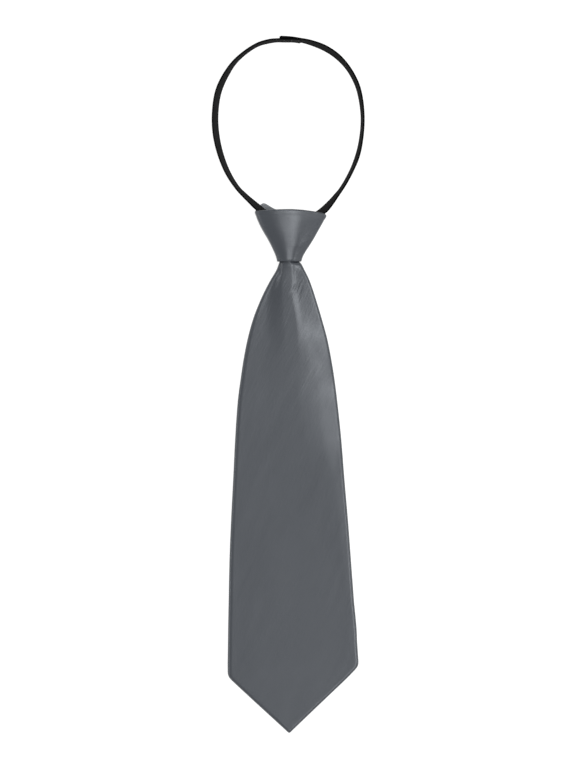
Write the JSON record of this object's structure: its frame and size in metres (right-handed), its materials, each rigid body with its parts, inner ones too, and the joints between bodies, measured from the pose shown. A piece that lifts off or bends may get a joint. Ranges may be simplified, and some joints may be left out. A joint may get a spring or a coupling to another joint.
{
  "type": "pre-tied necktie",
  "caption": "Child's pre-tied necktie in grey satin with a funnel-shaped knot, a pleated pointed blade and a black elastic neck band, lying flat on its back",
  "frame": {"origin": "middle of the bounding box in plan, at the height of the surface that the tie lies on", "axes": "+Y along the tie from the point to the neck band, +X to the right as seen from the front of the tie, +Z out of the front of the tie"},
  "size_m": [0.0821, 0.3726, 0.0154],
  "materials": {
    "satin": "satin with a soft sheen",
    "facing": "satin, a little duller",
    "elastic": "matt woven elastic"
  },
  "bodies": {
    "root": {"blade": "satin", "tip_facing": "facing", "knot_wrap": "satin", "neck_band": "elastic"}
  },
  "joints": []
}
